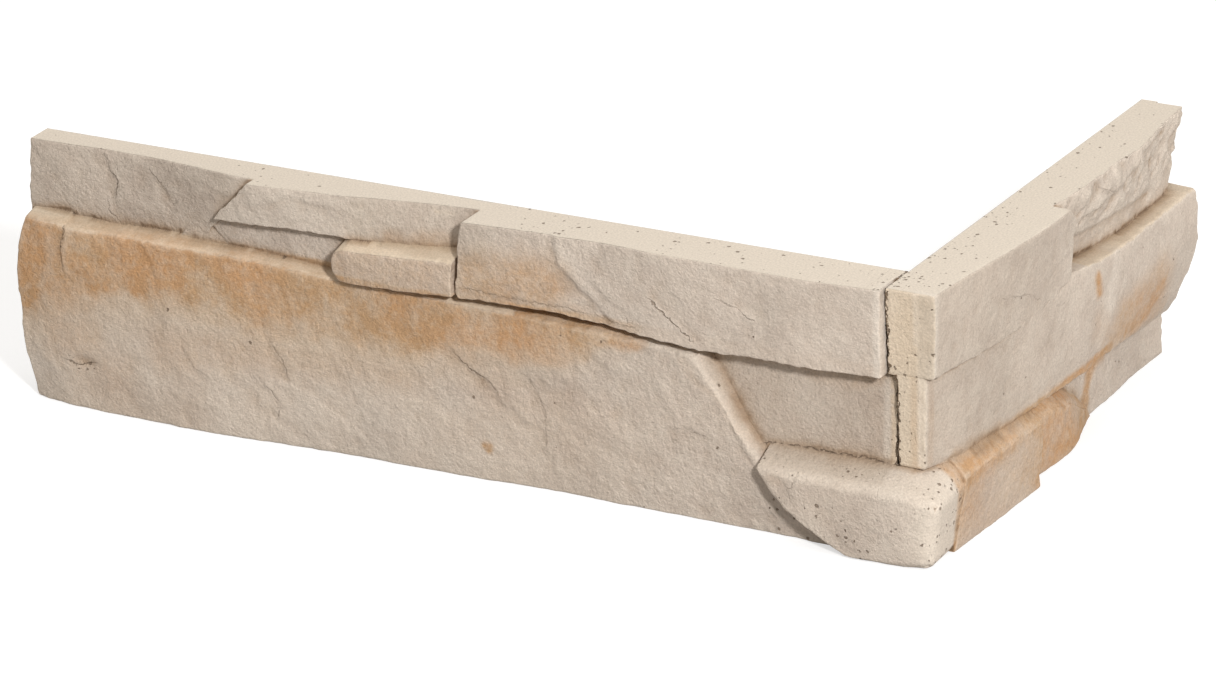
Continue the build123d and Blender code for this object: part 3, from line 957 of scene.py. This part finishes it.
floor_mesh = bpy.data.meshes.new("floor")
floor_mesh.from_pydata([(-6, -6, 0), (6, -6, 0), (6, 6, 0), (-6, 6, 0)], [], [(0, 1, 2, 3)])
floor = bpy.data.objects.new("floor", floor_mesh)
bpy.context.scene.collection.objects.link(floor)
floor_look = bpy.data.materials.new("pale_floor")
floor_look.use_nodes = True
floor_nodes, floor_links = floor_look.node_tree.nodes, floor_look.node_tree.links
floor_nodes["Principled BSDF"].inputs["Base Color"].default_value = (0.5, 0.5, 0.5, 1)
floor_nodes["Principled BSDF"].inputs["Roughness"].default_value = 1
floor_nodes["Principled BSDF"].inputs["Specular IOR Level"].default_value = 0
glow = floor_nodes.new("ShaderNodeEmission")
glow.inputs["Color"].default_value = (1, 1, 1, 1)
share = floor_nodes.new("ShaderNodeMath")
share.operation = "MULTIPLY"
share.inputs[1].default_value = 0.6
floor_links.new(seen_as_white(floor_nodes, floor_links), share.inputs[0])
added = floor_nodes.new("ShaderNodeAddShader")
floor_links.new(share.outputs[0], glow.inputs["Strength"])
floor_links.new(floor_nodes["Principled BSDF"].outputs[0], added.inputs[0])
floor_links.new(glow.outputs[0], added.inputs[1])
floor_links.new(added.outputs[0], floor_nodes["Material Output"].inputs["Surface"])
floor.data.materials.append(floor_look)

world = bpy.data.worlds.new("studio")
bpy.context.scene.world = world
world.use_nodes = True
world_nodes, world_links = world.node_tree.nodes, world.node_tree.links
ambient = world_nodes["Background"]
ambient.inputs["Color"].default_value = (1, 0.92, 0.82, 1)
ambient.inputs["Strength"].default_value = 0.36
backdrop = world_nodes.new("ShaderNodeBackground")
backdrop.inputs["Color"].default_value = (1, 1, 1, 1)
backdrop.inputs["Strength"].default_value = 1
either = world_nodes.new("ShaderNodeMixShader")
world_links.new(seen_as_white(world_nodes, world_links), either.inputs["Fac"])
world_links.new(ambient.outputs[0], either.inputs[1])
world_links.new(backdrop.outputs[0], either.inputs[2])
world_links.new(either.outputs[0], world_nodes["World Output"].inputs["Surface"])


def lamp(name, way, distance, size, level):
    """A square soft lamp at a distance in one direction from the slip, turned towards it.

    Its power is the level of light on a white face that looks at it, times pi squared and
    the square of the distance.
    """
    light = bpy.data.lights.new(name, "AREA")
    light.size = size
    light.energy = level * np.pi**2 * distance**2
    holder = bpy.data.objects.new(name, light)
    way = Vector(way).normalized()
    place = Vector((-0.15, 0.02, 0.05)) + distance * way
    holder.matrix_world = Matrix.Translation(place) @ way.to_track_quat("Z", "Y").to_matrix().to_4x4()
    bpy.context.scene.collection.objects.link(holder)


lamp("ahead", (1.05, -1, 0.80), 2.6, 0.24, 0.93)
lamp("above", (0.0, -0.1, 1), 2.4, 1.5, 0.28)
lamp("right", (0.9, 0.45, 0.05), 2.2, 0.8, 0.25)
lamp("behind", (-0.6, 1, 0.4), 2.4, 1.5, 0.26)

# The camera: a long lens, high and to the right, a little tipped, as in the photograph.
# Its turn, dip and roll are in radians, and its stand is in metres from the wall corner.

lens = bpy.data.cameras.new("camera")
lens.sensor_width = 36
lens.lens = 222.04
lens.clip_end = 30
camera = bpy.data.objects.new("camera", lens)
turn, dip, roll = 0.5306312, 0.3862617, -0.0443258
stand = (1.136955, -2.146550, 1.065429)
side = np.array((np.cos(turn), np.sin(turn), 0))
ahead = np.array((-np.sin(turn) * np.cos(dip), np.cos(turn) * np.cos(dip), -np.sin(dip)))
above = np.cross(side, ahead)
pose = np.eye(4)
pose[:3, 0] = np.cos(roll) * side + np.sin(roll) * above
pose[:3, 1] = np.cos(roll) * above - np.sin(roll) * side
pose[:3, 2] = -ahead
pose[:3, 3] = stand
camera.matrix_world = Matrix(pose.tolist())
bpy.context.scene.collection.objects.link(camera)
bpy.context.scene.camera = camera
bpy.context.scene.view_settings.view_transform = "Standard"
